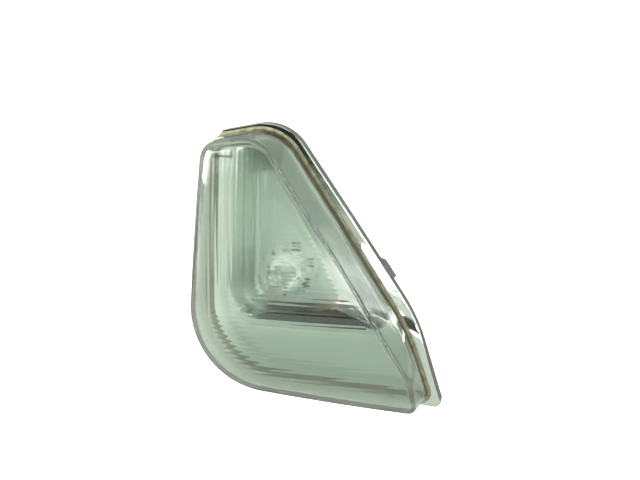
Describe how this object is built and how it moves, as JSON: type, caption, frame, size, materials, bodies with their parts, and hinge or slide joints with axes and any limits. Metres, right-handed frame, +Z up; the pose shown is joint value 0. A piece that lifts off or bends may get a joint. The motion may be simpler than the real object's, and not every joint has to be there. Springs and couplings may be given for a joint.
{
  "type": "mirror turn signal lamp",
  "caption": "Clear-lens turn signal for a wing mirror: tapering domed lens with fine L-shaped ribs, metallised housing with a side latch, and a twist-lock bulb holder.",
  "frame": {"origin": "on the bulb's axis, at the front plane of the flange that bears on the inside of the mirror cover", "axes": "+Z up as the lamp sits in the mirror, +Y to the back along the bulb's axis, -Y out through the lens, +X towards the slanting side with the latch"},
  "size_m": [0.1109, 0.0743, 0.1254],
  "materials": {
    "clear_plastic": "clear acrylic with a faint green tint",
    "sealant": "olive brown sealant, uneven",
    "metallised_plastic": "grey plastic, vacuum metallised on its front face",
    "grey_plastic": "light grey nylon",
    "gasket_rubber": "soft black rubber",
    "terminal_brass": "tinned brass strip",
    "bulb_glass": "clear bulb glass",
    "lead_wire": "plain wire"
  },
  "bodies": {
    "housing": {"lens": "clear_plastic", "sealant_bead": "sealant", "reflector_housing": "metallised_plastic"},
    "bulb_unit": {"bulb_holder": "grey_plastic", "holder_gasket": "gasket_rubber", "terminal_left": "terminal_brass", "terminal_right": "terminal_brass", "bulb_glass": "bulb_glass", "bulb_lead_left": "lead_wire", "bulb_lead_right": "lead_wire", "bulb_filament": "lead_wire"}
  },
  "joints": [
    {"name": "bulb_holder_twist", "type": "hinge", "parent": "housing", "child": "bulb_unit", "pos_m": [0, 0, 0], "axis": [0, 1, 0], "range_deg": [0, 45]}
  ]
}
